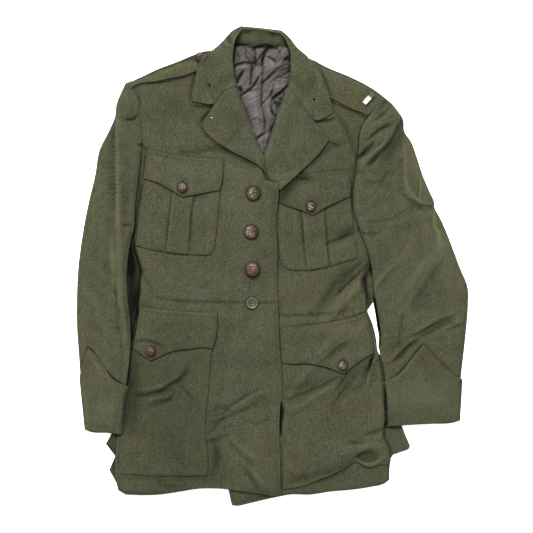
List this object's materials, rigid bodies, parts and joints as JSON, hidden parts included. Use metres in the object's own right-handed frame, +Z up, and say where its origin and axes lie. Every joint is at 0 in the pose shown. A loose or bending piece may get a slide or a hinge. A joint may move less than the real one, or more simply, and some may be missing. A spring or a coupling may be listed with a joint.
{
  "type": "military dress tunic",
  "caption": "Wool tunic laid flat on its back: notched lapels, pleated chest pockets and larger lower pockets with pointed flaps, shoulder straps, pointed cuffs and a lapped button front.",
  "frame": {"origin": "middle of the floor that the tunic covers: the centre of its box in X and Y, at the floor in Z", "axes": "+Y runs up the tunic from hem to collar, +Z is up from the floor, and the front faces +Z; +X is to the right as seen from above, on the side of the front that lies underneath"},
  "size_m": [0.6652, 0.812, 0.024],
  "materials": {
    "serge": "olive-green wool serge, matte",
    "satin": "grey-brown satin lining and tape, with a soft sheen",
    "bronze": "dark browned bronze, worn bright on the high places",
    "plastic": "green-grey moulded button",
    "enamel": "silver-white enamel with a brown end"
  },
  "bodies": {
    "root": {"back": "serge", "back_lining": "satin", "chest_button_left": "bronze", "chest_button_right": "bronze", "chest_flap_left": "serge", "chest_flap_right": "serge", "chest_pocket_left": "serge", "chest_pocket_right": "serge", "collar_fall": "serge", "collar_stand": "serge", "cuff_left": "serge", "cuff_right": "serge", "front_button_1": "bronze", "front_button_2": "bronze", "front_button_3": "bronze", "front_button_4": "plastic", "front_left": "serge", "front_right": "serge", "hanger_loop": "satin", "lapel_left": "serge", "lapel_right": "serge", "lower_button_left": "bronze", "lower_button_right": "bronze", "lower_flap_left": "serge", "lower_flap_right": "serge", "lower_pocket_left": "serge", "lower_pocket_right": "serge", "rank_bar": "enamel", "shoulder_strap_left": "serge", "shoulder_strap_right": "serge", "sleeve_left_top": "serge", "sleeve_left_under": "serge", "sleeve_right_top": "serge", "sleeve_right_under": "serge", "strap_button_left": "bronze"}
  },
  "joints": []
}
